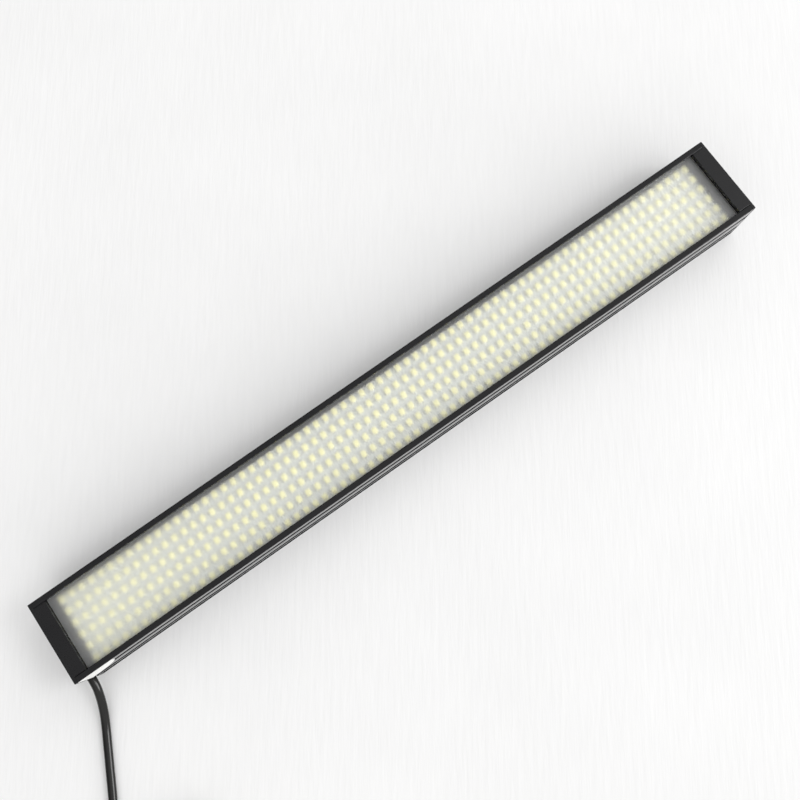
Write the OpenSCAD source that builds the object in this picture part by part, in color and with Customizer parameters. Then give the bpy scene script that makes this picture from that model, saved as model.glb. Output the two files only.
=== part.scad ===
/* [LED field] */
// Number of LEDs along each row
led_cols = 70; // [20:1:100]
// Distance between LEDs along a row
led_pitch_x = 5; // [4:0.5:8]
// Distance between the rows
led_pitch_y = 5.9; // [4.5:0.1:5.9]
// Length of one LED package along the row
led_l = 2.8; // [1.6:0.1:3.2]
// Width of one LED package across the row
led_w = 3.5; // [1.6:0.1:3.5]
// Height of one LED package without its lens
led_h = 1.7; // [0.8:0.1:2.2]

/* [Housing] */
// Width of the housing
bar_w = 40; // [40:0.5:44]
// Height of the housing, from the back face to the rails
bar_h = 32; // [32:0.5:40]
// Width of each rail seen beside the window
rail_w = 2.65; // [2.2:0.05:3.5]
// Thickness of the web that the LED board lies on
web_t = 2.5; // [2:0.1:3]
// Inner width of the wiring duct
duct_w = 27.8; // [20:0.2:28]
// Depth of the window recess above the diffuser
recess = 2; // [1:0.1:2.5]

/* [Slots] */
// Height of the side slot's centre above the back face
slot_z = 10.5; // [10:0.1:11]
// Width of the slot's mouth
slot_mouth = 4.4; // [4.2:0.1:4.8]
// Thickness of the slot's lips
slot_lip = 1.8; // [1.4:0.1:2]
// Across flats of the captive M4 square nuts
nut_w = 7; // [7:0.1:7.2]
// Thickness of the nuts
nut_t = 2.2; // [1.8:0.1:2.3]
// Diameter of the nuts' tapped hole
nut_hole_d = 3.3; // [3.2:0.05:3.4]
// Distance of each nut from the middle of the bar
nut_x = 120; // [20:5:160]

/* [End caps] */
// Thickness of the end plates
plate_t = 1.5; // [1.2:0.1:2]
// Length of the filler block that closes the window's end
block_l = 5.8; // [3:0.1:8]
// Diameter of the countersunk screw heads
screw_head_d = 5.2; // [4.6:0.1:5.4]
// Diameter of the screw ports in the extrusion
port_d = 2.5; // [2.2:0.1:2.7]

/* [Lead] */
// Diameter of the cable
cable_d = 4; // [3.6:0.1:4.2]
// Radius of the coil at the middle of its turns
coil_r = 24; // [22:0.5:25]
// Angle at which the coil starts
coil_start = 155; // [150:1:160]
// Angle at which the cable ends in the plug, on top of the coil
plug_at = 20; // [0:1:25]
// Length of the plug
plug_l = 14; // [12:0.5:16]
// Width of the plug
plug_w = 8; // [6:0.5:9]
// Height of the plug
plug_h = 6; // [5:0.5:7]

/* [Hidden] */
$fn = 48;
eps = 0.05;

// lengths along the bar
led_end = 4.2;
window_l = (led_cols - 1) * led_pitch_x + 2 * led_end;
profile_l = window_l + 2 * block_l;
bar_l = profile_l + 2 * plate_t;

// heights above the back face
fin_h = 3;
duct_floor = 4.4;
web_top = bar_h - 10.5;
duct_top = web_top - web_t;
pad_t = 0.4;
board_t = 1.6;
board_top = web_top + pad_t + board_t;
diffuser_t = 2;
diffuser_z = bar_h - recess - diffuser_t;
ledge_t = 1;

// half widths across the bar
window_hw = bar_w / 2 - rail_w;
chamber_hw = bar_w / 2 - 2;
groove_hw = bar_w / 2 - 1.6;
gap = 0.15;

// board: LEDs over most of its width, resistors along its near edge
board_l = (led_cols - 1) * led_pitch_x + led_l + 0.6;
board_near = chamber_hw - 0.3;
board_far = 2.5 * led_pitch_y + led_w / 2 + 0.2;
board_w = board_near + board_far;

// outside grooves
slot_depth = slot_lip + nut_t + 0.6;
slot_cavity = nut_w + 0.6;
line_z = bar_h - 8.9;
line_w = 4.8;
line_depth = 0.8;
foot_h = 0.6;
foot_groove_w = slot_z - slot_cavity / 2 - 0.7 - foot_h;
fin_gap = 2.4;
fin_pitch = 4;
fin_gaps = 7;

// screws
port_y = bar_w / 2 - 3.1;
port_zs = [3.4, duct_top - 2.2];
screw_l = 9;
head_h = 1.2;
socket_af = 2;

// lead outlet
outlet_y = -bar_w / 2 + 9.2;
outlet_z = 9.2;
elbow_r = 3.2;
elbow_mouth_y = -bar_w / 2 + 1.6;
elbow_x = -profile_l / 2 - 2.8;
spigot_r = 2.2;
spigot_l = 5.5;
wire_d = 1.4;
wire_gap = 1.8;
wire_rise_x = -profile_l / 2 + 22;
wire_bend_r = 3;
web_hole_d = 8;

// slot nuts: place along the bar and side of the bar
nut_y = bar_w / 2 - slot_lip - nut_t / 2 - 0.3;
nut_places = [[-nut_x, -1], [nut_x, -1], [-nut_x, 1], [nut_x, 1]];

// label on the housing's side, next to the lead
label_t = 0.15;
label_r = 17;

// coil: two lanes on the ground and one on top, measured from the bar's corner
corner = [-bar_l / 2, -bar_w / 2, 0];
coil_centre = [-17, -97, 0];
lane_out = coil_r + cable_d / 2;
top_z = cable_d;
top_h = 3.5;
top_start = 65;
tie_at = 215;
tie_w = 3.5;
tie_t = 0.45;
pin_d = 1.6;

// centre line of the lead from the elbow to the coil, measured from the bar's corner
route = [
    [-1.3, 1.6, 9.2], [-1.3, -1.3, 9.2], [-1.75, -4.5, 8.6], [-2.8, -7.5, 7.4],
    [-4.15, -10.5, 5.9], [-5.95, -14, 4.3], [-8.15, -18, 2.9], [-10.55, -22.5, 2.15],
    [-12.8, -27, 2], [-15.2, -32, 2], [-17.65, -37, 2], [-20.05, -42, 2],
    [-22.5, -47, 2], [-24.95, -52, 2], [-27.8, -58, 2], [-30.9, -64.5, 2],
    [-34, -71, 2], [-37.2, -78, 2],
    coil_centre + [lane_out * cos(coil_start), lane_out * sin(coil_start), 2]
];

// unit vector
function unit(v) = v / norm(v);

// direction of travel at point i of a path
function along(path, i) =
    unit(path[min(i + 1, len(path) - 1)] - path[max(i - 1, 0)]);

// ring of a tube at point i, square to the path
function ring(path, i, r, sides) =
    let (t = along(path, i), s = unit(cross(t, [0, 0, 1])), u = cross(s, t))
    [for (k = [0:sides - 1]) path[i] + r * (cos(360 * k / sides) * s + sin(360 * k / sides) * u)];

// closed tube of radius r along a path
module tube(path, r, sides) {
    n = len(path);
    points = [for (i = [0:n - 1]) each ring(path, i, r, sides)];
    walls = [
        for (i = [0:n - 2], k = [0:sides - 1])
            let (a = i * sides, b = a + sides, m = (k + 1) % sides)
            [a + k, a + m, b + m, b + k]
    ];
    first = [for (k = [0:sides - 1]) sides - 1 - k];
    last = [for (k = [0:sides - 1]) (n - 1) * sides + k];
    polyhedron(points, concat(walls, [first, last]));
}

// turns a drawing of the cross section (across, up) into a solid along the bar
module along_bar(length) {
    rotate([90, 0, 90]) linear_extrude(length, center = true) children();
}

// rectangle from one side to the other, centred across the bar
module band(half_w, z0, z1) {
    translate([-half_w, z0]) square([2 * half_w, z1 - z0]);
}

// the slot and the two decorative grooves on one side, cut from the section
module side_cuts() {
    translate([bar_w / 2 - slot_lip - eps, slot_z - slot_mouth / 2])
        square([slot_lip + 1, slot_mouth]);
    translate([bar_w / 2 - slot_depth, slot_z - slot_cavity / 2])
        square([slot_depth - slot_lip, slot_cavity]);
    translate([bar_w / 2 - line_depth, line_z - line_w / 2])
        square([line_depth + 1, line_w]);
    translate([bar_w / 2 - line_depth, foot_h]) square([line_depth + 1, foot_groove_w]);
}

module housing_section() {
    difference() {
        band(bar_w / 2, 0, bar_h);
        for (side = [0, 1]) mirror([side, 0]) {
            side_cuts();
            for (z = port_zs) translate([port_y, z]) circle(d = port_d);
        }
        band(duct_w / 2, duct_floor, duct_top);
        band(chamber_hw, web_top, diffuser_z - ledge_t);
        band(window_hw, web_top, bar_h + 1);
        band(groove_hw, diffuser_z - 0.1, diffuser_z + diffuser_t + 0.1);
        for (i = [0:fin_gaps - 1])
            translate([(i - (fin_gaps - 1) / 2) * fin_pitch - fin_gap / 2, -1])
                square([fin_gap, fin_h + 1]);
    }
}

module housing() {
    color([0.06, 0.06, 0.065])
        difference() {
            along_bar(profile_l) housing_section();
            translate([wire_rise_x, outlet_y, duct_top - 1])
                cylinder(d = web_hole_d, h = web_t + 2);
        }
}

// end plate with its filler block, drawn for the right end
module end_cap() {
    difference() {
        union() {
            translate([profile_l / 2, -bar_w / 2, 0]) cube([plate_t, bar_w, bar_h]);
            translate([profile_l / 2 - block_l, -window_hw + gap, web_top + gap])
                cube([block_l, 2 * (window_hw - gap), bar_h - web_top - gap]);
        }
        for (side = [-1, 1], z = port_zs)
            translate([profile_l / 2, side * port_y, z]) rotate([0, 90, 0]) {
                translate([0, 0, -1]) cylinder(d = port_d + 0.4, h = plate_t + 2);
                translate([0, 0, plate_t - head_h])
                    cylinder(d1 = port_d + 0.4, d2 = screw_head_d + 0.1, h = head_h + 0.01);
            }
    }
}

module end_cap_right() {
    color([0.13, 0.13, 0.135]) end_cap();
}

module end_cap_left() {
    color([0.09, 0.09, 0.095])
        difference() {
            mirror([1, 0, 0]) end_cap();
            translate([-bar_l / 2 - 1, outlet_y, outlet_z]) rotate([0, 90, 0])
                cylinder(r = elbow_r + eps, h = plate_t + 1.5);
            translate([-bar_l / 2 - 1, -bar_w / 2 - 1, outlet_z - elbow_r - eps])
                cube([plate_t + 1.5, outlet_y + bar_w / 2 + 1, 2 * (elbow_r + eps)]);
        }
}

// four countersunk screws at the right end
module end_screws() {
    for (side = [-1, 1], z = port_zs)
        translate([bar_l / 2, side * port_y, z]) rotate([0, -90, 0])
            difference() {
                union() {
                    cylinder(d1 = screw_head_d, d2 = port_d, h = head_h);
                    cylinder(d = port_d, h = screw_l);
                }
                translate([0, 0, -1]) cylinder(d = socket_af / cos(30), h = 1.9, $fn = 6);
            }
}

module end_screws_right() {
    color([0.2, 0.2, 0.2]) end_screws();
}

module end_screws_left() {
    color([0.2, 0.2, 0.2]) mirror([1, 0, 0]) end_screws();
}

module diffuser() {
    color([0.9, 0.92, 0.9, 0.6])
        translate([-window_l / 2 + 0.2, -groove_hw + 0.2, diffuser_z])
            cube([window_l - 0.4, 2 * (groove_hw - 0.2), diffuser_t]);
}

module led_board() {
    color([0.93, 0.94, 0.92])
        translate([-board_l / 2, -board_near, web_top + pad_t]) cube([board_l, board_w, board_t]);
}

module thermal_pad() {
    color([0.75, 0.75, 0.72])
        difference() {
            translate([-board_l / 2 + 0.2, -board_near + 0.2, web_top])
                cube([board_l - 0.4, board_w - 0.4, pad_t]);
            translate([wire_rise_x, outlet_y, web_top - 1])
                cylinder(d = web_hole_d, h = pad_t + 2);
        }
}

// one surface-mounted LED with its round lens
module led() {
    lens_d = 2.7;
    lens_h = 0.2;
    translate([-led_l / 2, -led_w / 2, 0]) cube([led_l, led_w, led_h]);
    cylinder(d = lens_d, h = led_h + lens_h, $fn = 24);
}

module led_row(row) {
    color([0.95, 0.93, 0.72])
        for (i = [0:led_cols - 1])
            translate([
                (i - (led_cols - 1) / 2) * led_pitch_x,
                (row - 3.5) * led_pitch_y,
                board_top
            ]) led();
}

// one series resistor for each column of LEDs
module resistors() {
    size = [1.6, 0.8, 0.45];
    color([0.1, 0.1, 0.1])
        for (i = [0:led_cols - 1])
            translate([
                (i - (led_cols - 1) / 2) * led_pitch_x - size[0] / 2,
                -board_near + 0.2,
                board_top
            ]) cube(size);
}

// wire from the lead's end, along the duct and up to the underside of the board
module lead_wire(offset_y) {
    y = outlet_y + offset_y;
    start_x = -profile_l / 2 + spigot_l;
    rise_z = outlet_z + wire_bend_r;
    translate([start_x, y, outlet_z]) rotate([0, 90, 0])
        cylinder(d = wire_d, h = wire_rise_x - wire_bend_r - start_x, $fn = 24);
    translate([wire_rise_x - wire_bend_r, y, rise_z]) rotate([90, 0, 0])
        rotate([0, 0, 270]) rotate_extrude(angle = 90, $fn = 32)
            translate([wire_bend_r, 0]) circle(d = wire_d, $fn = 24);
    translate([wire_rise_x, y, rise_z])
        cylinder(d = wire_d, h = web_top + pad_t - rise_z, $fn = 24);
}

module lead_wire_red() {
    color([0.7, 0.05, 0.04]) lead_wire(wire_gap / 2);
}

module lead_wire_black() {
    color([0.04, 0.04, 0.04]) lead_wire(-wire_gap / 2);
}

// square nut that slides in one of the side slots
module slot_nut(place) {
    color([0.65, 0.66, 0.68])
        translate([place[0], place[1] * nut_y, slot_z])
            difference() {
                cube([nut_w, nut_t, nut_w], center = true);
                rotate([90, 0, 0]) cylinder(d = nut_hole_d, h = nut_t + 2, center = true);
            }
}

// blank quarter-round label in the corner beside the lead
module blank_label() {
    size = label_r + 1;
    color([0.95, 0.95, 0.94])
        translate([-profile_l / 2, -bar_w / 2, bar_h - 0.4]) rotate([90, 0, 0])
            linear_extrude(label_t)
                intersection() {
                    circle(r = label_r, $fn = 96);
                    translate([0, -size]) square(size);
                }
}

// moulded right-angle outlet that turns the lead along the end plate
module cable_elbow() {
    color([0.05, 0.05, 0.05]) {
        intersection() {
            union() {
                translate([elbow_x, outlet_y, outlet_z]) sphere(r = elbow_r);
                translate([elbow_x, outlet_y, outlet_z]) rotate([90, 0, 0])
                    cylinder(r = elbow_r, h = outlet_y - elbow_mouth_y);
            }
            translate([-profile_l / 2 - 20, -bar_w, 0]) cube([20, 2 * bar_w, bar_h]);
        }
        translate([-profile_l / 2 - 1, outlet_y, outlet_z]) rotate([0, 90, 0])
            cylinder(r = spigot_r, h = spigot_l + 1);
    }
}

module cable() {
    color([0.05, 0.05, 0.05]) translate(corner) tube(route, cable_d / 2, 8);
}

module cable_coil() {
    lane_in = coil_r - cable_d / 2;
    color([0.05, 0.05, 0.05])
        translate(corner + coil_centre) {
            rotate_extrude($fn = 96)
                translate([lane_in - cable_d / 2, 0]) square([2 * cable_d, top_z]);
            rotate([0, 0, top_start])
                rotate_extrude(angle = 360 + plug_at - top_start, $fn = 96)
                    translate([coil_r - cable_d / 2, top_z - 0.1])
                        square([cable_d, top_h + 0.1]);
        }
}

// flat tie wrapped around the whole section of the coil
module coil_tie() {
    top = top_z + top_h;
    half = cable_d + 0.1;
    color([0.08, 0.08, 0.08])
        translate(corner + coil_centre) rotate([0, 0, tie_at]) translate([coil_r, 0, 0])
            rotate([90, 0, 0]) linear_extrude(tie_w, center = true)
                difference() {
                    polygon([
                        [-half - tie_t, 0], [half + tie_t, 0], [half + tie_t, top_z + 0.4],
                        [half / 2 + 0.6, top + 0.1 + tie_t], [-half / 2 - 0.6, top + 0.1 + tie_t],
                        [-half - tie_t, top_z + 0.4]
                    ]);
                    polygon([
                        [-half, tie_t], [half, tie_t], [half, top_z + 0.2],
                        [half / 2 + 0.25, top + 0.1], [-half / 2 - 0.25, top + 0.1],
                        [-half, top_z + 0.2]
                    ]);
                }
}

// places a drawing at the lead's end: X outwards, Y along the lead, Z up
module at_plug() {
    translate(corner + coil_centre) rotate([0, 0, plug_at])
        translate([coil_r, 0, top_z]) children();
}

// two-pole plug with an open mouth
module plug_housing() {
    wall = 1;
    mouth_l = 8;
    color([0.9, 0.9, 0.86])
        at_plug() difference() {
            translate([-plug_w / 2, 0, 0]) cube([plug_w, plug_l, plug_h]);
            translate([-plug_w / 2 + wall, plug_l - mouth_l, wall])
                cube([plug_w - 2 * wall, mouth_l + 1, plug_h - 2 * wall]);
        }
}

module plug_contacts() {
    color([0.8, 0.68, 0.3])
        at_plug() for (side = [-1, 1])
            translate([side * 1.4, plug_l - 8, plug_h / 2]) rotate([-90, 0, 0])
                cylinder(d = pin_d, h = 6.5, $fn = 24);
}

housing();
end_cap_left();
end_cap_right();
end_screws_left();
end_screws_right();
diffuser();
led_board();
thermal_pad();
led_row(1);  // led_row_1
led_row(2);  // led_row_2
led_row(3);  // led_row_3
led_row(4);  // led_row_4
led_row(5);  // led_row_5
led_row(6);  // led_row_6
resistors();
lead_wire_red();
lead_wire_black();
slot_nut(nut_places[0]);  // slot_nut_1
slot_nut(nut_places[1]);  // slot_nut_2
slot_nut(nut_places[2]);  // slot_nut_3
slot_nut(nut_places[3]);  // slot_nut_4
blank_label();
cable_elbow();
cable();
cable_coil();
coil_tie();
plug_housing();
plug_contacts();
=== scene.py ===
"""Looks of the LED bar light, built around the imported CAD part.

Row frame, metres: +X along the bar away from the lead, +Z the way the light shines, and the bar
lies on its back at z = 0. Shapes are drawn in millimetres and scaled by MM when their mesh is
made; the lead and the camera are scaled where they are placed.
"""
import math

import bmesh
import bpy
from mathutils import Matrix, Vector
from mathutils.geometry import tessellate_polygon


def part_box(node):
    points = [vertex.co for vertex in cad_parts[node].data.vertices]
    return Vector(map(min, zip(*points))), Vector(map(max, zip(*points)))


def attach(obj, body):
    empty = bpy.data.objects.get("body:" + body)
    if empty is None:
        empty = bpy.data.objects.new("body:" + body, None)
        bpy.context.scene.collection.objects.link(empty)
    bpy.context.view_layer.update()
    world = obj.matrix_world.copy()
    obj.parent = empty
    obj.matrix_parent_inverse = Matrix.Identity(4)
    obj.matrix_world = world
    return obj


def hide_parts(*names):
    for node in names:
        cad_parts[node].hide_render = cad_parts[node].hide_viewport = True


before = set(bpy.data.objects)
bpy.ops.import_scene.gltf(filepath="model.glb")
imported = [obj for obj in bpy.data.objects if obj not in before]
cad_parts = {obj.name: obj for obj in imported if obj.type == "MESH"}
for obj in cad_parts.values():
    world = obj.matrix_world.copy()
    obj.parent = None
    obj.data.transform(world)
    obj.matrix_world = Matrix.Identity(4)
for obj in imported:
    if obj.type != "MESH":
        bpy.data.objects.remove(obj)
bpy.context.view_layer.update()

MM = 0.001
BODY = "lamp"


def box_mm(node):
    """lowest and highest corner of a CAD node, in millimetres"""
    low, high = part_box(node)
    return [c / MM for c in low], [c / MM for c in high]


PROFILE_END, HALF_W, BAR_H = box_mm("housing")[1]
BAR_END = box_mm("end_cap_right")[1][0]
CORNER = Vector((-BAR_END, -HALF_W, 0))


# ---------------------------------------------------------------- camera

CAMERA_AT = (-31.2, -59.1, 410.7)
CAMERA_AIM = (0.6, 3.4, 16)
UP_ANGLE = 55
LENS = 38.88


def make_camera():
    """looks down on the bar, turned so that the bar runs up to the right"""
    data = bpy.data.cameras.new("camera")
    data.lens = LENS
    data.sensor_width = 36
    data.clip_start = 0.01
    camera = bpy.data.objects.new("camera", data)
    at = Vector(CAMERA_AT) * MM
    back = (at - Vector(CAMERA_AIM) * MM).normalized()
    up = Vector((math.cos(math.radians(UP_ANGLE)), math.sin(math.radians(UP_ANGLE)), 0))
    right = up.cross(back).normalized()
    up = back.cross(right)
    turn = Matrix((right, up, back)).transposed().to_4x4()
    camera.matrix_world = Matrix.Translation(at) @ turn
    bpy.context.scene.collection.objects.link(camera)
    bpy.context.scene.camera = camera


make_camera()


# ---------------------------------------------------------------- outlines

CORNER_STEPS = 3


def rounded(outline, radius):
    """closed 2D outline with every corner rounded"""
    n = len(outline)
    points = []
    for i, corner in enumerate(outline):
        here = Vector(corner)
        back = Vector(outline[i - 1]) - here
        ahead = Vector(outline[(i + 1) % n]) - here
        reach = radius / math.tan(back.angle(ahead) / 2)
        reach = min(reach, 0.45 * back.length, 0.45 * ahead.length)
        a = here + back.normalized() * reach
        b = here + ahead.normalized() * reach
        for k in range(CORNER_STEPS + 1):
            t = k / CORNER_STEPS
            points.append(a * (1 - t) ** 2 + here * 2 * t * (1 - t) + b * t * t)
    return points


def rectangle(low, high, radius=0.0):
    """rounded rectangle between two corners"""
    outline = [(low[0], low[1]), (high[0], low[1]), (high[0], high[1]), (low[0], high[1])]
    return rounded(outline, radius) if radius else outline


def circle(centre, radius, sides):
    turn = 2 * math.pi / sides
    return [
        (centre[0] + radius * math.cos(k * turn), centre[1] + radius * math.sin(k * turn))
        for k in range(sides)
    ]


def shrink(outline, amount):
    """counter-clockwise outline drawn in by a small amount along its corners' normals"""
    n = len(outline)
    points = []
    for i, p in enumerate(outline):
        ahead = Vector(outline[(i + 1) % n]) - Vector(outline[i - 1])
        points.append(Vector(p) + Vector((-ahead[1], ahead[0])).normalized() * amount)
    return points


# ---------------------------------------------------------------- shapes: (points, faces)


def loft(rings):
    """closed shell through rings of equal length, with a flat cap at each end"""
    n = len(rings[0])
    verts = [p for ring in rings for p in ring]
    faces = []
    for i in range(len(rings) - 1):
        a, b = i * n, (i + 1) * n
        faces += [(a + k, a + (k + 1) % n, b + (k + 1) % n, b + k) for k in range(n)]
    last = (len(rings) - 1) * n
    faces.append(tuple(reversed(range(n))))
    faces.append(tuple(last + k for k in range(n)))
    return verts, faces


def prism(outline, holes, x0, x1, chamfer=0.0):
    """solid along X from a (y, z) outline with holes; chamfer draws its ends in"""
    loops = [outline] + holes
    caps = tessellate_polygon([[Vector((*p, 0)) for p in loop] for loop in loops])
    n = sum(len(loop) for loop in loops)
    layers = [(x0, 0), (x1, 0)]
    if chamfer:
        layers = [(x0, chamfer), (x0 + chamfer, 0), (x1 - chamfer, 0), (x1, chamfer)]
    verts = []
    for x, inset in layers:
        verts += [(x, *p) for p in (shrink(outline, inset) if inset else outline)]
        verts += [(x, *p) for loop in holes for p in loop]
    faces = [tuple(reversed(t)) for t in caps]
    faces += [tuple(i + (len(layers) - 1) * n for i in t) for t in caps]
    start = 0
    for loop in loops:
        m = len(loop)
        for layer in range(len(layers) - 1):
            a, b = layer * n + start, (layer + 1) * n + start
            faces += [(a + k, a + (k + 1) % m, b + (k + 1) % m, b + k) for k in range(m)]
        start += m
    return verts, faces


def upright(shape):
    """a shape drawn along X, set up along Z"""
    return [(y, z, x) for x, y, z in shape[0]], shape[1]


def sideways(shape):
    """a shape drawn along X, laid along Y"""
    return [(y, x, z) for x, y, z in shape[0]], shape[1]


def turned_part(profile, centre, sides=24):
    """closed shell around a line along X; profile holds (x, radius) from one end to the other"""
    return loft([[(x, *p) for p in circle(centre, r, sides)] for x, r in profile])


def posed(shape, origin, ahead):
    """a shape moved to origin and turned about Z so that its X axis points ahead"""
    x_axis = Vector(ahead).normalized()
    y_axis = Vector((0, 0, 1)).cross(x_axis)
    verts = [Vector(origin) + x_axis * x + y_axis * y + Vector((0, 0, z)) for x, y, z in shape[0]]
    return verts, shape[1]


def joined(shapes):
    """one list of points and faces from several"""
    verts, faces = [], []
    for v, f in shapes:
        n = len(verts)
        verts += list(v)
        faces += [tuple(i + n for i in face) for face in f]
    return verts, faces


# ---------------------------------------------------------------- pieces

SMOOTH = 35


def mesh_piece(name, shape, materials, slots=None, smooth=SMOOTH):
    """object from a shape; slots has the faces' materials; edges over smooth degrees are sharp"""
    mesh = bpy.data.meshes.new(name)
    mesh.from_pydata([tuple(c * MM for c in v) for v in shape[0]], [], shape[1])
    for material in materials:
        mesh.materials.append(material)
    if slots:
        mesh.polygons.foreach_set("material_index", slots)
    work = bmesh.new()
    work.from_mesh(mesh)
    bmesh.ops.recalc_face_normals(work, faces=work.faces)
    work.to_mesh(mesh)
    work.free()
    piece = bpy.data.objects.new(name, mesh)
    bpy.context.scene.collection.objects.link(piece)
    shade(piece, smooth)
    return piece


def shade(piece, smooth=SMOOTH):
    """smooth shading between sharp edges, with flat faces kept flat"""
    piece.data.polygons.foreach_set("use_smooth", [True] * len(piece.data.polygons))
    piece.data.set_sharp_from_angle(angle=math.radians(smooth))
    modifier = piece.modifiers.new("flat_faces", "WEIGHTED_NORMAL")
    modifier.keep_sharp = True


def combine(piece, steps):
    """joins shapes to a piece or takes them out of it; each step is (shape, operation)"""
    piece.modifiers.clear()
    tools = []
    for shape, operation in steps:
        tool = mesh_piece("tool", shape, [])
        tool.modifiers.clear()
        modifier = piece.modifiers.new("combine", "BOOLEAN")
        modifier.object = tool
        modifier.operation = operation
        modifier.solver = "EXACT"
        tools.append(tool)
    depsgraph = bpy.context.evaluated_depsgraph_get()
    mesh = bpy.data.meshes.new_from_object(piece.evaluated_get(depsgraph))
    piece.modifiers.clear()
    piece.data = mesh
    for tool in tools:
        bpy.data.objects.remove(tool)
    shade(piece)


def place(piece, node, body=BODY):
    """rides a piece on its body and hides the CAD node"""
    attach(piece, body)
    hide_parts(node)


def mirrored(piece):
    """the same piece at the other end of the bar"""
    piece.data.transform(Matrix.Diagonal((-1, 1, 1, 1)))
    piece.data.flip_normals()
    return piece


# ---------------------------------------------------------------- shader tools


class Paint:
    """short calls for building one procedural material"""

    def __init__(self, name, color, roughness, metallic=0.0):
        self.material = bpy.data.materials.new(name)
        self.material.use_nodes = True
        self.nodes = self.material.node_tree.nodes
        self.links = self.material.node_tree.links
        self.shader = self.nodes["Principled BSDF"]
        self.set("Base Color", (*color, 1))
        self.set("Roughness", roughness)
        self.set("Metallic", metallic)
        self.where = self.nodes.new("ShaderNodeTexCoord").outputs["Object"]

    def set(self, socket, value):
        self.shader.inputs[socket].default_value = value

    def use(self, socket, value):
        self.links.new(value, self.shader.inputs[socket])

    def noise(self, size, stretch=(1, 1, 1), detail=3.0, turn=0.0):
        """noise of size millimetres, drawn out along the axes by stretch and turned about Z"""
        mapping = self.nodes.new("ShaderNodeMapping")
        mapping.vector_type = "TEXTURE"
        mapping.inputs["Scale"].default_value = stretch
        mapping.inputs["Rotation"].default_value = (0, 0, math.radians(turn))
        self.links.new(self.where, mapping.inputs["Vector"])
        noise = self.nodes.new("ShaderNodeTexNoise")
        noise.inputs["Scale"].default_value = 1 / (size * MM)
        noise.inputs["Detail"].default_value = detail
        noise.inputs["Roughness"].default_value = 0.55
        self.links.new(mapping.outputs["Vector"], noise.inputs["Vector"])
        return noise.outputs["Fac"]

    def span(self, value, low, high, new_low, new_high):
        """maps a value from one range to another"""
        node = self.nodes.new("ShaderNodeMapRange")
        for socket, number in zip(
            ("From Min", "From Max", "To Min", "To Max"), (low, high, new_low, new_high)
        ):
            node.inputs[socket].default_value = number
        self.links.new(value, node.inputs["Value"])
        return node.outputs["Result"]

    def add(self, a, b, scale=1.0):
        """a plus b times scale"""
        node = self.nodes.new("ShaderNodeMath")
        node.operation = "MULTIPLY_ADD"
        self.links.new(b, node.inputs[0])
        node.inputs[1].default_value = scale
        self.links.new(a, node.inputs[2])
        return node.outputs["Value"]

    def axis(self, name):
        """one of the object coordinates, in metres"""
        node = self.nodes.new("ShaderNodeSeparateXYZ")
        self.links.new(self.where, node.inputs["Vector"])
        return node.outputs[name]

    def colors(self, value, low, high, a, b):
        """colour from a to b as the value goes from low to high"""
        node = self.nodes.new("ShaderNodeMix")
        node.data_type = "RGBA"
        ends = [s for s in node.inputs if s.type == "RGBA"]
        ends[0].default_value = (*a, 1)
        ends[1].default_value = (*b, 1)
        self.links.new(self.span(value, low, high, 0, 1), node.inputs["Factor"])
        return next(s for s in node.outputs if s.type == "RGBA")

    def bump(self, height, depth):
        """bump whose full height is depth millimetres"""
        node = self.nodes.new("ShaderNodeBump")
        node.inputs["Distance"].default_value = depth * MM
        self.links.new(height, node.inputs["Height"])
        self.links.new(node.outputs["Normal"], self.shader.inputs["Normal"])


# ---------------------------------------------------------------- materials


def anodised(name, dark, light, roughness, streak=(60, 1, 1)):
    """black anodised aluminium with drawn lines along the bar and a fine grain"""
    paint = Paint(name, light, roughness)
    cloud = paint.noise(9, stretch=(4, 1, 1), detail=2)
    lines = paint.noise(0.35, stretch=streak, detail=4)
    grain = paint.noise(0.09, detail=2)
    paint.use("Base Color", paint.colors(cloud, 0.3, 0.7, dark, light))
    paint.use("Roughness", paint.span(lines, 0.3, 0.7, roughness - 0.05, roughness + 0.06))
    paint.bump(paint.add(lines, grain, 0.5), 0.003)
    paint.set("Specular IOR Level", 0.27)
    return paint.material


def moulded(name, dark, light, roughness, size=0.25, depth=0.01, specular=0.4):
    """plastic or rubber with a faint mould texture"""
    paint = Paint(name, light, roughness)
    cloud = paint.noise(3, detail=2)
    grain = paint.noise(size, detail=4)
    paint.use("Base Color", paint.colors(cloud, 0.3, 0.7, dark, light))
    paint.use("Roughness", paint.span(grain, 0.3, 0.7, roughness - 0.05, roughness + 0.08))
    paint.bump(grain, depth)
    paint.set("Specular IOR Level", specular)
    return paint.material


def metal(name, dark, light, roughness):
    """plated or blackened metal with a brushed, slightly stained surface"""
    paint = Paint(name, light, roughness, metallic=1.0)
    stain = paint.noise(1.6)
    grain = paint.noise(0.12)
    paint.use("Base Color", paint.colors(stain, 0.35, 0.7, dark, light))
    paint.use("Roughness", paint.span(stain, 0.3, 0.7, roughness - 0.07, roughness + 0.1))
    paint.bump(grain, 0.004)
    return paint.material


# the diffuser's roughness changes along X: from, to (metres), value before and value past
LEAD_END_FROST = (-0.175, -0.07, 0.53, 0.28)
FAR_END_FROST = (0.04, 0.175, 0, 0.1)


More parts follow.
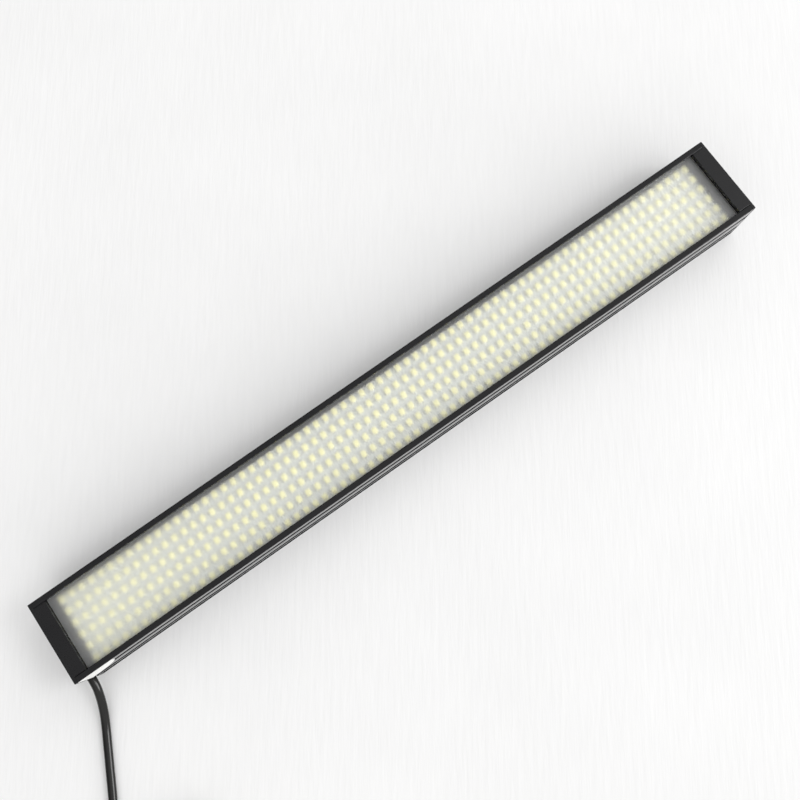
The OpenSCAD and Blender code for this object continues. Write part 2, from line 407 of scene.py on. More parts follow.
def frosted():
    """satin acrylic: blurs what lies under it, most at the lead's end and least in the middle"""
    paint = Paint("frosted_acrylic", (0.99, 1.0, 1.0), 0.45)
    paint.set("Transmission Weight", 0.95)
    paint.set("IOR", 1.49)
    frost = paint.noise(0.15)
    near_lead = paint.span(paint.axis("X"), *LEAD_END_FROST)
    far_end = paint.span(paint.axis("X"), *FAR_END_FROST)
    paint.use("Roughness", paint.add(paint.add(near_lead, far_end), frost, 0.03))
    paint.bump(frost, 0.0015)
    see_through = paint.nodes.new("ShaderNodeBsdfTransparent")
    see_through.inputs["Color"].default_value = (0.97, 0.98, 0.98, 1)
    rays = paint.nodes.new("ShaderNodeLightPath")
    shader = paint.shader.outputs["BSDF"]
    for kind in ("Is Diffuse Ray", "Is Shadow Ray"):
        mix = paint.nodes.new("ShaderNodeMixShader")
        paint.links.new(rays.outputs[kind], mix.inputs["Fac"])
        paint.links.new(shader, mix.inputs[1])
        paint.links.new(see_through.outputs["BSDF"], mix.inputs[2])
        shader = mix.outputs["Shader"]
    paint.links.new(shader, paint.nodes["Material Output"].inputs["Surface"])
    return paint.material


def phosphor():
    """yellow silicone that fills each LED's cup"""
    paint = Paint("phosphor", (0.98, 0.94, 0.5), 0.3)
    cloud = paint.noise(0.25)
    paint.use("Base Color", paint.colors(cloud, 0.3, 0.7, (0.99, 0.91, 0.45), (1.0, 0.95, 0.54)))
    paint.bump(cloud, 0.01)
    paint.set("Specular IOR Level", 0.2)
    return paint.material


def label_film():
    """blank label with a faint fibre"""
    paint = Paint("label_film", (0.93, 0.93, 0.92), 0.5)
    fibre = paint.noise(0.25, stretch=(3, 1, 1), detail=5)
    spots = paint.noise(4, detail=2)
    paint.use("Base Color", paint.colors(spots, 0.3, 0.7, (0.9, 0.9, 0.88), (0.95, 0.95, 0.94)))
    paint.bump(fibre, 0.006)
    return paint.material


def table_top():
    """white sheet with a faint ribbed grain"""
    paint = Paint("table_top", (0.87, 0.87, 0.87), 0.6)
    ribs = paint.noise(2.2, stretch=(9, 1, 1), turn=UP_ANGLE)
    cloud = paint.noise(90, detail=2)
    tone = paint.add(cloud, ribs, 0.8)
    paint.use("Base Color", paint.colors(tone, 0.6, 1.2, (0.85, 0.85, 0.85), (0.89, 0.89, 0.89)))
    paint.bump(ribs, 0.12)
    paint.set("Specular IOR Level", 0.1)
    return paint.material


BLACK_ANODISED = (0.004, 0.004, 0.005), (0.007, 0.007, 0.008)
WHITE_MASK = (0.64, 0.65, 0.63), (0.68, 0.69, 0.67)
PACKAGE = (0.87, 0.84, 0.62), (0.91, 0.88, 0.68)
RESISTOR = (0.02, 0.02, 0.022), (0.04, 0.04, 0.045)
RED = (0.5, 0.02, 0.015), (0.64, 0.03, 0.02)
BLACK = (0.012, 0.012, 0.012), (0.025, 0.025, 0.025)
# near-black for the diffuser's edge faces: painted shade for the grooves and blocks round them
EDGE_PAINTED_SHADE = (0.01, 0.01, 0.01), (0.016, 0.016, 0.016)
RUBBER = (0.014, 0.014, 0.014), (0.024, 0.024, 0.024)
JACKET = (0.004, 0.004, 0.004), (0.007, 0.007, 0.006)
NYLON = (0.78, 0.76, 0.69), (0.86, 0.85, 0.79)

MAT = {
    "housing": anodised("black_anodised", *BLACK_ANODISED, 0.12),
    "cap": anodised("cap_anodised", *BLACK_ANODISED, 0.3, streak=(1, 1, 1)),
    "screw": metal("black_oxide", (0.03, 0.03, 0.032), (0.07, 0.07, 0.075), 0.38),
    "diffuser": frosted(),
    "board": moulded("white_solder_mask", *WHITE_MASK, 0.5, size=0.5, depth=0.004, specular=0.15),
    "pad": moulded("thermal_pad", (0.5, 0.51, 0.5), (0.6, 0.61, 0.6), 0.8, size=0.6, depth=0.05),
    "package": moulded("led_package", *PACKAGE, 0.5, size=0.2, depth=0.004, specular=0.15),
    "phosphor": phosphor(),
    "solder": metal("solder", (0.62, 0.63, 0.64), (0.78, 0.79, 0.8), 0.3),
    "resistor": moulded("resistor_body", *RESISTOR, 0.3, size=0.1, depth=0.004),
    "red": moulded("red_insulation", *RED, 0.35, size=0.4),
    "black": moulded("black_insulation", *BLACK, 0.35, size=0.4),
    "zinc": metal("zinc_plate", (0.5, 0.51, 0.53), (0.7, 0.71, 0.73), 0.32),
    "label": label_film(),
    # the diffuser's edges: painted shade, not a coating
    "edge_shade": moulded("diffuser_edge_painted_shade", *EDGE_PAINTED_SHADE, 0.6, size=0.3),
    "rubber": moulded("moulded_rubber", *RUBBER, 0.55, size=0.2),
    "jacket": moulded("cable_jacket", *JACKET, 0.16, size=0.7, depth=0.006, specular=0.3),
    "tie": moulded("tie_nylon", (0.02, 0.02, 0.02), (0.03, 0.03, 0.03), 0.45, size=0.3),
    "nylon": moulded("plug_nylon", *NYLON, 0.4, size=0.4, depth=0.008),
    "brass": metal("contact_brass", (0.6, 0.44, 0.16), (0.8, 0.62, 0.28), 0.28),
    "table": table_top(),
}


# ---------------------------------------------------------------- lead

CABLE_D = 4.0
COIL_CENTRE = CORNER + Vector((-17, -97, 0))
COIL_R = 24.0
COIL_START = 155
TURNS = 3
PLUG_AT = 20
COIL_END = PLUG_AT + TURNS * 360
LANE_OUT = COIL_R + CABLE_D / 2
LANE_IN = COIL_R - CABLE_D / 2
FLOOR_Z = CABLE_D / 2
TOP_Z = FLOOR_Z + math.sqrt(3) * CABLE_D / 2
PLUG_SIZE = (8, 14, 6)
PLUG_Z = CABLE_D + PLUG_SIZE[2] / 2

# where along the coil, in degrees, the lead changes its lane, and over how many degrees
TO_INNER_LANE = (455, 60)
TO_TOP_LANE = (780, 35)
UP_TO_PLUG = (COIL_END - 45, 45)

# the lead's line from the elbow's mouth to the coil, counted from the bar's corner
ROUTE = [
    (-1.3, 1.6, 9.2), (-1.3, -1.3, 9.2), (-1.75, -4.5, 8.6), (-2.8, -7.5, 7.4),
    (-4.15, -10.5, 5.9), (-5.95, -14, 4.3), (-8.15, -18, 2.9), (-10.55, -22.5, 2.15),
    (-12.8, -27, 2), (-15.2, -32, 2), (-17.65, -37, 2), (-20.05, -42, 2),
    (-22.5, -47, 2), (-24.95, -52, 2), (-27.8, -58, 2), (-30.9, -64.5, 2),
    (-34, -71, 2), (-37.2, -78, 2),
]


def eased(angle, start, width):
    """0 before start and 1 past start + width, with a smooth change between"""
    t = min(max((angle - start) / width, 0.0), 1.0)
    return t * t * (3 - 2 * t)


def coil_point(angle):
    """point of the coil: an outer and an inner lane on the table, then a lane on top of both"""
    radius = LANE_OUT - CABLE_D * eased(angle, *TO_INNER_LANE)
    z = FLOOR_Z
    climb = eased(angle, *TO_TOP_LANE)
    if climb > 0:
        under = LANE_OUT - CABLE_D * eased(angle - 360, *TO_INNER_LANE)
        ride = FLOOR_Z + math.sqrt(CABLE_D ** 2 - min((under - COIL_R) ** 2, CABLE_D ** 2 / 4))
        radius = LANE_IN + (COIL_R - LANE_IN) * climb
        z = FLOOR_Z + (ride - FLOOR_Z) * climb
    z += (PLUG_Z - TOP_Z) * eased(angle, *UP_TO_PLUG)
    a = math.radians(angle)
    return COIL_CENTRE + Vector((radius * math.cos(a), radius * math.sin(a), z))


def catmull(points, steps):
    """smooth curve through the points"""
    curve = []
    n = len(points)
    for i in range(n - 1):
        p0, p1, p2, p3 = (points[min(max(j, 0), n - 1)] for j in (i - 1, i, i + 1, i + 2))
        for k in range(steps):
            t = k / steps
            curve.append(
                0.5 * (2 * p1 + (p2 - p0) * t + (2 * p0 - 5 * p1 + 4 * p2 - p3) * t * t
                       + (3 * p1 - p0 - 3 * p2 + p3) * t * t * t)
            )
    return curve + [points[-1]]


def lead_path():
    """the whole centre line, from the elbow's mouth to the plug"""
    coil = [coil_point(a) for a in range(COIL_START, COIL_END + 1, 5)]
    route = [CORNER + Vector(p) for p in ROUTE] + coil[:2]
    return catmull(route, 4)[:-4] + coil[1:]


def make_lead(path):
    curve = bpy.data.curves.new("lead", "CURVE")
    curve.dimensions = "3D"
    curve.bevel_depth = CABLE_D / 2 * MM
    curve.bevel_resolution = 5
    curve.use_fill_caps = True
    spline = curve.splines.new("POLY")
    spline.points.add(len(path) - 1)
    for point, p in zip(spline.points, path):
        point.co = (*(p * MM), 1)
    curve.materials.append(MAT["jacket"])
    piece = bpy.data.objects.new("lead", curve)
    bpy.context.scene.collection.objects.link(piece)
    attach(piece, BODY)
    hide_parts("cable", "cable_coil")
    return piece


LEAD_PATH = lead_path()
lead = make_lead(LEAD_PATH)


# ---------------------------------------------------------------- housing

PORT_Y = HALF_W - 3.1
PORT_ZS = (3.4, BAR_H - 15.2)
PORT_R = 1.25
WEB_TOP = BAR_H - 10.5
DIFFUSER = box_mm("diffuser")
BOARD = box_mm("led_board")
OUTLET = (-HALF_W + 9.2, 9.2)
WIRE_R = 0.7
WIRE_X = box_mm("lead_wire_red")[1][0] - WIRE_R
WEB_HOLE_R = 4
WEB_HOLE_Z = (17, 23)
DUCT = (-13.9, 4.4), (13.9, 19)

# heights of the cuts in each side, and how deep they go
FOOT_GROOVE = (0.6, 6)
LINE_GROOVE = (BAR_H - 11.3, BAR_H - 6.5)
GROOVE_DEPTH = 0.8
SLOT_MOUTH = (8.3, 12.7)
SLOT_CAVITY = (6.7, 14.3)
SLOT_LIP = 1.8
SLOT_DEPTH = 4.6

# cooling channels in the back
FIN_H = 3
FIN_PITCH = 4
FIN_GAP = 2.4

# distances from the side: window and chamber walls, and the bottom of the diffuser's groove
WINDOW_IN = 2.65
CHAMBER_IN = 2
SEAT_IN = 1.6
SEAT_Z = (DIFFUSER[0][2] - 0.1, DIFFUSER[0][2] + 2.1)
CHAMBER_TOP = DIFFUSER[0][2] - 1


def side_cut(heights, depth):
    """the outline's four corners round a plain groove in the side"""
    low, high = heights
    inner = HALF_W - depth
    return [(HALF_W, low), (inner, low), (inner, high), (HALF_W, high)]


def housing_half():
    """right half of the section's outline, from the back's middle to the web's middle"""
    gap = FIN_GAP / 2
    fins = [(gap, FIN_H)]
    for i in (1, 2, 3):
        centre = i * FIN_PITCH
        fins += [(centre - (FIN_PITCH - gap), 0), (centre - gap, 0)]
        fins += [(centre - gap, FIN_H), (centre + gap, FIN_H)]
    fins.append((centre + gap, 0))
    lip, depth = HALF_W - SLOT_LIP, HALF_W - SLOT_DEPTH
    slot = [
        (HALF_W, SLOT_MOUTH[0]), (lip, SLOT_MOUTH[0]), (lip, SLOT_CAVITY[0]),
        (depth, SLOT_CAVITY[0]), (depth, SLOT_CAVITY[1]), (lip, SLOT_CAVITY[1]),
        (lip, SLOT_MOUTH[1]), (HALF_W, SLOT_MOUTH[1]),
    ]
    side = [(HALF_W, 0)] + side_cut(FOOT_GROOVE, GROOVE_DEPTH) + slot
    side += side_cut(LINE_GROOVE, GROOVE_DEPTH) + [(HALF_W, BAR_H)]
    window, chamber, seat = HALF_W - WINDOW_IN, HALF_W - CHAMBER_IN, HALF_W - SEAT_IN
    low, high = SEAT_Z
    inside = [
        (window, BAR_H), (window, high), (seat, high), (seat, low), (window, low),
        (window, CHAMBER_TOP), (chamber, CHAMBER_TOP), (chamber, WEB_TOP),
    ]
    return fins + side + inside


def make_housing():
    half = housing_half()
    outline = rounded(half + [(-y, z) for y, z in reversed(half)], 0.28)
    duct = rectangle(*DUCT, 0.5)
    ports = [circle((s * PORT_Y, z), PORT_R, 20) for s in (-1, 1) for z in PORT_ZS]
    shape = prism(outline, [duct] + ports, -PROFILE_END, PROFILE_END)
    piece = mesh_piece("housing_extrusion", shape, [MAT["housing"]])
    hole = upright(prism(circle((WIRE_X, OUTLET[0]), WEB_HOLE_R, 32), [], *WEB_HOLE_Z))
    combine(piece, [(hole, "DIFFERENCE")])
    place(piece, "housing")


make_housing()


# ---------------------------------------------------------------- end plates and screws

PLATE_CHAMFER = 0.18
BLOCK_X = DIFFUSER[1][0] + 0.2
BLOCK_HALF_W = HALF_W - 2.8
BLOCK_BOTTOM = WEB_TOP + 0.15
BLOCK_CHAMFER = 0.1
HOLE_R = PORT_R + 0.2
NOTCH_R = 3.25
HEAD_R = 2.6
HEAD_H = 1.2
SOCKET_HALF_W = 1
SOCKET_DEPTH = 0.95
SCREW_L = 9
TIP_L = 0.3
TIP_R = 0.85
THREAD_PITCH = 0.45
THREAD_ROOT_R = 1.05
THREAD_END = BAR_END - HEAD_H - 0.9


def end_plate(name):
    """right end plate with its filler block and countersunk holes"""
    face = rectangle((-HALF_W, 0), (HALF_W, BAR_H), 0.35)
    plate = mesh_piece(name, prism(face, [], PROFILE_END, BAR_END, PLATE_CHAMFER), [MAT["cap"]])
    face = rectangle((-BLOCK_HALF_W, BLOCK_BOTTOM), (BLOCK_HALF_W, BAR_H), 0.25)
    steps = [(prism(face, [], BLOCK_X, PROFILE_END + 0.5, BLOCK_CHAMFER), "UNION")]
    sink = [
        (PROFILE_END - 1, HOLE_R), (BAR_END - HEAD_H, HOLE_R), (BAR_END, HEAD_R + 0.05),
        (BAR_END + 1, HEAD_R + 1),
    ]
    for y in (-PORT_Y, PORT_Y):
        for z in PORT_ZS:
            steps.append((turned_part(sink, (y, z), 32), "DIFFERENCE"))
    combine(plate, steps)
    return plate


def make_end_plates():
    place(end_plate("right_end_plate"), "end_cap_right")
    left = mirrored(end_plate("left_end_plate"))
    y, z = OUTLET
    notch = [(-HALF_W - 1, z - NOTCH_R)]
    for degrees in range(-90, 91, 10):
        a = math.radians(degrees)
        notch.append((y + NOTCH_R * math.cos(a), z + NOTCH_R * math.sin(a)))
    notch.append((-HALF_W - 1, z + NOTCH_R))
    combine(left, [(prism(notch, [], -BAR_END - 1, -PROFILE_END + 1), "DIFFERENCE")])
    place(left, "end_cap_left")


def screw(centre):
    """countersunk screw at the right end, with a ridge for each turn of its thread"""
    x = BAR_END - SCREW_L
    profile = [(x, TIP_R), (x + TIP_L, THREAD_ROOT_R)]
    x += TIP_L
    while x < THREAD_END:
        profile += [(x + THREAD_PITCH / 2, PORT_R - 0.02), (x + THREAD_PITCH, THREAD_ROOT_R)]
        x += THREAD_PITCH
    profile += [
        (BAR_END - HEAD_H, PORT_R - 0.05), (BAR_END - 0.18, HEAD_R - 0.12),
        (BAR_END - 0.1, HEAD_R - 0.1), (BAR_END - 0.06, HEAD_R - 0.2),
    ]
    return turned_part(profile, centre)


def make_screws(name, node, side):
    """four screws with hexagon sockets; side is 1 at the right end and -1 at the lead's end"""
    places = [(y, z) for y in (-PORT_Y, PORT_Y) for z in PORT_ZS]
    piece = mesh_piece(name, joined([screw(p) for p in places]), [MAT["screw"]])
    socket_r = SOCKET_HALF_W / math.cos(math.pi / 6)
    sockets = [
        (prism(circle(p, socket_r, 6), [], BAR_END - SOCKET_DEPTH, BAR_END + 0.5), "DIFFERENCE")
        for p in places
    ]
    combine(piece, sockets)
    if side < 0:
        mirrored(piece)
    place(piece, node)


make_end_plates()
make_screws("right_screws", "end_screws_right", 1)
make_screws("left_screws", "end_screws_left", -1)


# ---------------------------------------------------------------- diffuser, board and pad

LED_COLS = 70
LED_ROWS = 6
LED_PITCH = (5.0, 5.9)
BOARD_TOP = BOARD[1][2]


def led_places(row):
    y = (row - (LED_ROWS + 1) / 2) * LED_PITCH[1]
    return [((i - (LED_COLS - 1) / 2) * LED_PITCH[0], y) for i in range(LED_COLS)]


def block(low, high):
    """plain box between two corners"""
    return upright(prism(rectangle(low, high), [], low[2], high[2]))


def sheet_shape(low, high, radius, chamfer=0.0, holes=()):
    """flat plate with rounded corners, lying across Z"""
    return upright(prism(rectangle(low, high, radius), list(holes), low[2], high[2], chamfer))


# a solder land's half length, how far from the LED's middle it lies, and its heights
LAND_HALF_L = 1.1
LAND_REACH = (1.05, 2.05)
LAND_Z = (BOARD_TOP - 0.06, BOARD_TOP - 0.02)


def make_board():
    """white board with a solder land on either side of each LED"""
    low, high = BOARD
    board = sheet_shape(low, (high[0], high[1], BOARD_TOP - 0.05), 1, 0.08)
    lands = []
    for row in range(1, LED_ROWS + 1):
        for x, y in led_places(row):
            left, right = x - LAND_HALF_L, x + LAND_HALF_L
            for side in (-1, 1):
                near, far = sorted(y + side * reach for reach in LAND_REACH)
                lands.append(block((left, near, LAND_Z[0]), (right, far, LAND_Z[1])))
    slots = [0] * len(board[1]) + [1] * sum(len(land[1]) for land in lands)
    piece = mesh_piece("board", joined([board] + lands), [MAT["board"], MAT["solder"]], slots)
    place(piece, "led_board")


def make_pad():
    hole = circle((WIRE_X, OUTLET[0]), WEB_HOLE_R, 32)
    pad = sheet_shape(*box_mm("thermal_pad"), 0.8, holes=[hole])
    place(mesh_piece("pad_sheet", pad, [MAT["pad"]]), "thermal_pad")


def make_diffuser():
    """frosted sheet, its edges painted near-black: painted shade where they sit hidden in the
    grooves and at the blocks
    """
    verts, faces = sheet_shape(*DIFFUSER, 0.6)
    # flat faces are frosted; the edge faces get the painted shade
    slots = [0 if len({verts[i][2] for i in face}) == 1 else 1 for face in faces]
    materials = [MAT["diffuser"], MAT["edge_shade"]]
    place(mesh_piece("diffuser_sheet", (verts, faces), materials, slots), "diffuser")


make_diffuser()
make_board()
make_pad()


# ---------------------------------------------------------------- LEDs and resistors

LED_L, LED_W, LED_H = 2.8, 3.5, 1.7
LENS_H = 0.2
CUP = (1.29, 1.63)
LED_SIDES = 16

# an LED from the board up: how far its walls are drawn in or its cup's share, and the height
PACKAGE_RINGS = ((0, 0), (0.05, LED_H - 0.04), (0.09, LED_H))
CUP_RINGS = ((1, LED_H), (0.95, LED_H - 0.1))
LENS_RINGS = ((0.85, LED_H + LENS_H * 0.4), (0.45, LED_H + LENS_H))

# a resistor's cap, body and cap: X from and to, how far each is drawn in, and its material
RESISTOR_PARTS = ((-0.8, -0.5, 0, 1), (-0.5, 0.5, 0.03, 0), (0.5, 0.8, 0, 1))


def led_rings(x, y):
    """rings up a package, over its rim and over the phosphor in its cup"""
    turn = 2 * math.pi / LED_SIDES
    around = [(math.cos(k * turn), math.sin(k * turn)) for k in range(LED_SIDES)]

    def square(inset, z):
        half = (LED_L / 2 - inset, LED_W / 2 - inset)
        return [
            (x + half[0] * c / max(abs(c), abs(s)), y + half[1] * s / max(abs(c), abs(s)),
             BOARD_TOP + z)
            for c, s in around
        ]

    def oval(share, z):
        return [(x + share * CUP[0] * c, y + share * CUP[1] * s, BOARD_TOP + z) for c, s in around]

    package = [square(*ring) for ring in PACKAGE_RINGS]
    return package + [oval(*ring) for ring in CUP_RINGS + LENS_RINGS]


def make_led_row(row):
    walls, lens = len(PACKAGE_RINGS + CUP_RINGS) - 1, len(LENS_RINGS)
    led_slots = [0] * (LED_SIDES * walls) + [1] * (LED_SIDES * lens) + [0, 1]
    shapes = [loft(led_rings(x, y)) for x, y in led_places(row)]
    materials = [MAT["package"], MAT["phosphor"]]
    slots = led_slots * LED_COLS
    piece = mesh_piece(f"led_row_{row}_parts", joined(shapes), materials, slots, smooth=50)
    place(piece, f"led_row_{row}")


def make_resistors():
    """chip resistors, each with a metal cap at either end"""
    low, high = box_mm("resistors")
    shapes, slots = [], []
    for x, _ in led_places(1):
        for x0, x1, inset, slot in RESISTOR_PARTS:
            face = rectangle((low[1] + inset, low[2]), (high[1] - inset, high[2] - inset), 0.06)
            shapes.append(prism(face, [], x + x0, x + x1))
            slots += [slot] * len(shapes[-1][1])
    piece = mesh_piece("chip_resistors", joined(shapes), [MAT["resistor"], MAT["solder"]], slots)
    place(piece, "resistors")


for led_row in range(1, LED_ROWS + 1):
    make_led_row(led_row)
make_resistors()


# ---------------------------------------------------------------- wires and elbow

SPIGOT_X = -PROFILE_END + 5.5
BEND_R = 3
WIRE_APART = 0.9
WIRE_SIDES = 12
WIRE_TIP = ((0.05, 0.4), (1.2, 0.42), (1.45, 0.2))  # height past the insulation, radius
ELBOW_X = -PROFILE_END - 2.8
ELBOW_R = 3.2
ELBOW_MOUTH = -HALF_W + 1.6
RIB_START = ELBOW_MOUTH + 5.4
RIB_PITCH = 1.35
RIB_R = 2.75
BARB_XS = (0, 1.8, 3.6)


def wire_path(y):
    """from the spigot along the duct, up through the web's hole to the board"""
    rise = OUTLET[1] + BEND_R
    path = [Vector((SPIGOT_X, y, OUTLET[1])), Vector((WIRE_X - BEND_R, y, OUTLET[1]))]
    for degrees in range(15, 91, 15):
        a = math.radians(degrees)
        path.append(Vector((
            WIRE_X - BEND_R + BEND_R * math.sin(a), y, rise - BEND_R * math.cos(a)
        )))
    return path + [Vector((WIRE_X, y, z)) for z in (16, 20.4)]


def wire_rings(path, radii):
    """rings of a tube along a path that keeps one Y"""
    rings = []
    for i, (p, r) in enumerate(zip(path, radii)):
        ahead = (path[min(i + 1, len(path) - 1)] - path[max(i - 1, 0)]).normalized()
        across = Vector((0, 1, 0))
        up = ahead.cross(across)
        turn = 2 * math.pi / WIRE_SIDES
        rings.append([
            p + (across * math.cos(k * turn) + up * math.sin(k * turn)) * r
            for k in range(WIRE_SIDES)
        ])
    return rings


def make_wire(name, node, side, material):
    """insulated wire with a tinned end"""
    path = wire_path(OUTLET[0] + side * WIRE_APART)
    bare = [path[-1] + Vector((0, 0, z)) for z, _ in WIRE_TIP]
    radii = [WIRE_R] * len(path) + [r for _, r in WIRE_TIP]
    rings = wire_rings(path + bare, radii)
    slots = [0] * (WIRE_SIDES * (len(path) - 1)) + [1] * (WIRE_SIDES * len(bare)) + [0, 1]
    piece = mesh_piece(name, loft(rings), [material, MAT["solder"]], slots)
    place(piece, node)


def make_elbow():
    """moulded right-angle outlet: flat against the profile, ribbed at the mouth, with a spigot"""
    y0, z0 = OUTLET
    flat = -PROFILE_END
    profile = []
    for degrees in range(4, 91, 10):
        a = math.radians(degrees)
        profile.append((y0 + ELBOW_R * math.cos(a), ELBOW_R * math.sin(a)))
    rib = RIB_START
    while rib > ELBOW_MOUTH + 0.5:
        profile += [
            (rib, ELBOW_R), (rib - 0.12, RIB_R), (rib - 0.6, RIB_R), (rib - 0.72, ELBOW_R),
        ]
        rib -= RIB_PITCH
    profile += [(ELBOW_MOUTH + 0.25, ELBOW_R), (ELBOW_MOUTH, ELBOW_R - 0.25)]
    rings = []
    for y, r in profile:
        rings.append([(min(ELBOW_X + c, flat), y, z0 + s) for c, s in circle((0, 0), r, 40)])
    piece = mesh_piece("lead_elbow", loft(rings), [MAT["rubber"]])
    barbs = [(flat - 1, 2.15)]
    for x in BARB_XS:
        barbs += [(flat + x, 2.2), (flat + x + 1.5, 1.9), (flat + x + 1.7, 2.2)]
    barbs.append((SPIGOT_X, 1.7))
    combine(piece, [(turned_part(barbs, (y0, z0)), "UNION")])
    place(piece, "cable_elbow")
    return piece


make_wire("red_wire", "lead_wire_red", 1, MAT["red"])
make_wire("black_wire", "lead_wire_black", -1, MAT["black"])
elbow = make_elbow()


# ---------------------------------------------------------------- slot nuts and label

NUT_HOLE_R = 1.65
NUT_SIDES = 48
NUT_TURNS = 4
NUT_EDGE = 0.3

# exponents of the nut's outline: the higher, the squarer
SQUARE = 40
CHAMFERED = 9


def nut_layer(x, half, corner, hole_r):
    """one slice through a square nut: outer ring with rounded corners and the hole's ring"""
    outer, inner = [], []
    for c, s in circle((0, 0), 1, NUT_SIDES):
        reach = half / (abs(c) ** corner + abs(s) ** corner) ** (1 / corner)
        outer.append((x, reach * c, reach * s))
        inner.append((x, hole_r * c, hole_r * s))
    return outer, inner


def square_nut(thick, half):
    """square nut along X, its hole threaded and its front corners chamfered"""
    layers = [
        nut_layer(0, half, SQUARE, NUT_HOLE_R + NUT_EDGE),
        nut_layer(NUT_EDGE, half, SQUARE, NUT_HOLE_R),
    ]
    step = (thick - 2 * NUT_EDGE) / NUT_TURNS
    for i in range(NUT_TURNS):
        x = NUT_EDGE + i * step
        layers.append(nut_layer(x + step / 2, half, SQUARE, NUT_HOLE_R + 0.2))
        layers.append(nut_layer(x + step, half, SQUARE, NUT_HOLE_R))
    layers.append(nut_layer(thick, half, CHAMFERED, NUT_HOLE_R + NUT_EDGE))
    n = len(layers[0][0])
    verts = [p for outer, inner in layers for p in outer + inner]
    faces = []
    for i in range(len(layers) - 1):
        for part in (0, n):
            a, b = 2 * n * i + part, 2 * n * (i + 1) + part
            faces += [(a + k, a + (k + 1) % n, b + (k + 1) % n, b + k) for k in range(n)]
    for a in (0, 2 * n * (len(layers) - 1)):
        faces += [(a + k, a + (k + 1) % n, a + n + (k + 1) % n, a + n + k) for k in range(n)]
    return verts, faces


def make_nuts():
    for i in range(1, 5):
        low, high = box_mm(f"slot_nut_{i}")
        shape = square_nut(high[1] - low[1], (high[0] - low[0]) / 2)
        outward = 1 if low[1] > 0 else -1
        inner_y = low[1] if outward > 0 else high[1]
        start = ((low[0] + high[0]) / 2, inner_y, (low[2] + high[2]) / 2)
        shape = posed(shape, start, (0, outward, 0))
        place(mesh_piece(f"square_nut_{i}", shape, [MAT["zinc"]]), f"slot_nut_{i}", f"nut_{i}")


def make_label():
    """thin quarter-round film on the side beside the lead"""
    low, high = box_mm("blank_label")
    radius = high[0] - low[0]
    outline = [(low[0], high[2])]
    for degrees in range(-90, 1, 4):
        a = math.radians(degrees)
        outline.append((low[0] + radius * math.cos(a), high[2] + radius * math.sin(a)))
    film = sideways(prism(rounded(outline, 0.3), [], low[1], high[1]))
    place(mesh_piece("label_sheet", film, [MAT["label"]]), "blank_label")


make_nuts()
make_label()


# ---------------------------------------------------------------- coil tie and plug

TIE_AT = 215
TIE_W = 3.5
TIE_T = 0.45

# along the plug from the lead's side
SHELL_START = 2.6
COLLAR_END = 3
GRIP_GROOVES = (3.6, 4.6, 5.6)
LATCH_START = 7

# inwards from the plug's mouth, and across it from its middle
MOUTH_DEPTH = 8
KEY_DEPTH = 4
KEY_X = 2.6
POLE_X = 1.4
LATCH_H = 0.6


def on_coil(degrees, z):
    """a place on the coil's middle turn, and the direction outwards there"""
    a = math.radians(degrees)
    outwards = Vector((math.cos(a), math.sin(a), 0))
    return COIL_CENTRE + outwards * COIL_R + Vector((0, 0, z)), outwards


def make_tie():
    """nylon band round the coil, with a buckle and the tail's end on top"""
    half = CABLE_D + 0.1
    top = TOP_Z + CABLE_D / 2 + 0.15
    roof = top + TIE_T
    inner = [
        (-half, 0.35), (half, 0.35), (half, CABLE_D + 0.2), (half / 2 + 0.25, top),
        (-half / 2 - 0.25, top), (-half, CABLE_D + 0.2),
    ]
    outer = [
        (-half - TIE_T, 0), (half + TIE_T, 0), (half + TIE_T, CABLE_D + 0.4),
        (half / 2 + 0.6, roof), (-half / 2 - 0.6, roof), (-half - TIE_T, CABLE_D + 0.4),
    ]
    band = prism(rounded(outer, 1.2), [rounded(inner, 0.9)], -TIE_W / 2, TIE_W / 2)
    place_at, outwards = on_coil(TIE_AT, 0)
    ahead = (outwards.y, -outwards.x, 0)

    def at_tie(shape):
        return posed(shape, place_at, ahead)

    piece = mesh_piece("coil_tie_band", at_tie(band), [MAT["tie"]])
    buckle = rectangle((-2.4, roof - 0.3), (2.4, roof + 1.6), 0.4)
    slot = rectangle((-3, roof + 0.35), (3, roof + 0.95), 0.15)
    tail = rectangle((-2, roof + 0.4), (6.2, roof + 0.85), 0.1)
    steps = [
        (at_tie(prism(buckle, [], -2.5, 2.5, 0.2)), "UNION"),
        (at_tie(prism(slot, [], -1.9, 1.9)), "DIFFERENCE"),
        (at_tie(prism(tail, [], -1.6, 1.6)), "UNION"),
    ]
    combine(piece, steps)
    place(piece, "coil_tie")
    return piece


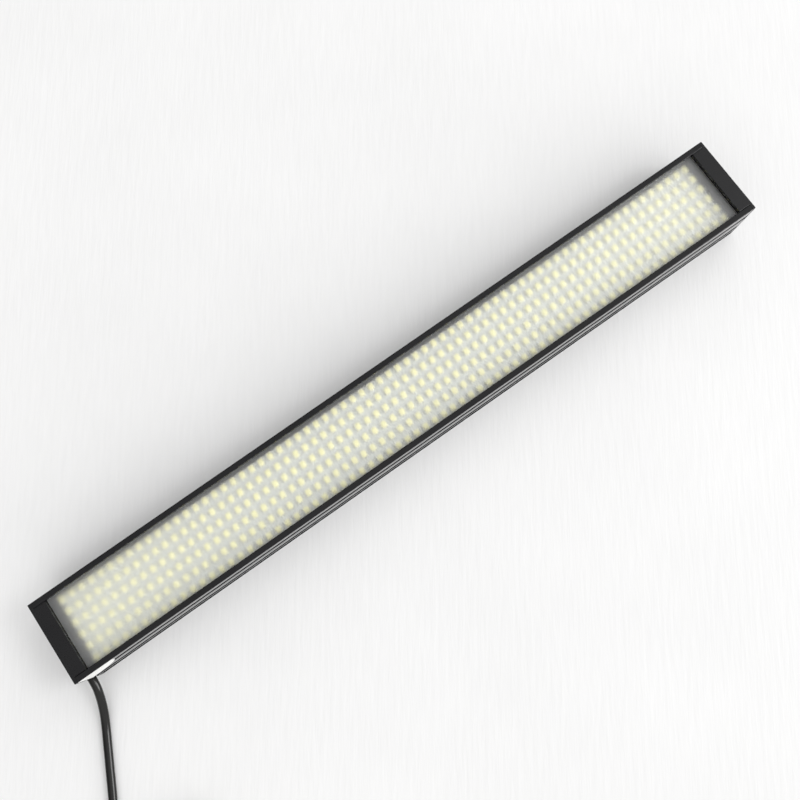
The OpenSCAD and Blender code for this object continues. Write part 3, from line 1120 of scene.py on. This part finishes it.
def make_plug():
    """two-pole plug: collar, ribbed grip, latch and a keyed mouth round two pins"""
    width, length, height = PLUG_SIZE
    body_top = height - LATCH_H
    place_at, outwards = on_coil(PLUG_AT, CABLE_D)

    def at_plug(shape):
        return posed(sideways(shape), place_at, outwards)

    main = rectangle((-width / 2, 0), (width / 2, body_top), 0.5)
    shell = at_plug(prism(main, [], SHELL_START, length, 0.2))
    piece = mesh_piece("plug_shell", shell, [MAT["nylon"]])
    collar = rectangle((-3, 0.3), (3, body_top - 0.2), 0.8)
    latch = rectangle((-1.2, body_top - 0.3), (1.2, height), 0.2)
    mouth = rectangle((-width / 2 + 1, 1), (width / 2 - 1, body_top - 0.7), 0.25)
    steps = [
        (at_plug(prism(collar, [], 0, COLLAR_END, 0.3)), "UNION"),
        (at_plug(prism(latch, [], LATCH_START, length - 0.6, 0.25)), "UNION"),
        (at_plug(prism(mouth, [], length - MOUTH_DEPTH, length + 1)), "DIFFERENCE"),
    ]
    for side in (-1, 1):
        x = side * KEY_X
        key = rectangle((x - 0.4, body_top - 1), (x + 0.4, body_top + 1))
        steps.append((at_plug(prism(key, [], length - KEY_DEPTH, length + 1)), "DIFFERENCE"))
        for y in GRIP_GROOVES:
            edge = side * width / 2
            groove = rectangle((edge - 0.35, -1), (edge + 0.35, height + 1))
            steps.append((at_plug(prism(groove, [], y, y + 0.45)), "DIFFERENCE"))
    combine(piece, steps)
    place(piece, "plug_housing")
    pin = [
        (length - MOUTH_DEPTH, 0.8), (length - 2.2, 0.8), (length - 1.7, 0.6), (length - 1.5, 0.3),
    ]
    pins = [at_plug(turned_part(pin, (x, height / 2), 20)) for x in (-POLE_X, POLE_X)]
    contacts = mesh_piece("plug_pins", joined(pins), [MAT["brass"]])
    place(contacts, "plug_contacts")
    return [piece, contacts]


tie = make_tie()
plug_pieces = make_plug()


# ---------------------------------------------------------------- floor and light

BRIGHT_SIDE = (0.5, -0.85, 0.15)
WORLD_BAND = (-0.7, 0.3)
WORLD_LEVELS = (0.22, 1.31)


def make_floor():
    size = 3000
    corners = [(-size, -size, 0), (size, -size, 0), (size, size, 0), (-size, size, 0)]
    floor = mesh_piece("table", (corners, [(0, 1, 2, 3)]), [MAT["table"]])


def area_light(name, at, size, power, on_matt=True):
    """soft lamp aimed at the bar's middle, in metres; without on_matt it only makes glints"""
    data = bpy.data.lights.new(name, "AREA")
    data.size = size
    data.energy = power
    light = bpy.data.objects.new(name, data)
    light.visible_diffuse = on_matt
    light.location = at
    light.rotation_euler = (-Vector(at)).to_track_quat("-Z", "Y").to_euler()
    bpy.context.scene.collection.objects.link(light)


def make_world():
    """pale room that grows darker behind the bar"""
    world = bpy.data.worlds.new("studio")
    world.use_nodes = True
    nodes, links = world.node_tree.nodes, world.node_tree.links
    where = nodes.new("ShaderNodeTexCoord")
    facing = nodes.new("ShaderNodeVectorMath")
    facing.operation = "DOT_PRODUCT"
    facing.inputs[1].default_value = BRIGHT_SIDE
    level = nodes.new("ShaderNodeMapRange")
    for socket, number in zip(
        ("From Min", "From Max", "To Min", "To Max"), (*WORLD_BAND, *WORLD_LEVELS)
    ):
        level.inputs[socket].default_value = number
    links.new(where.outputs["Generated"], facing.inputs[0])
    links.new(facing.outputs["Value"], level.inputs["Value"])
    links.new(level.outputs["Result"], nodes["Background"].inputs["Strength"])
    nodes["Background"].inputs["Color"].default_value = (1, 0.998, 0.995, 1)
    bpy.context.scene.world = world


make_floor()
make_world()
area_light("window_light", (0.9, -0.45, 1.3), 0.5, 4.5)
area_light("glint_light", (1.05, -0.74, 0.62), 0.85, 19, on_matt=False)
bpy.context.scene.view_settings.view_transform = "Standard"
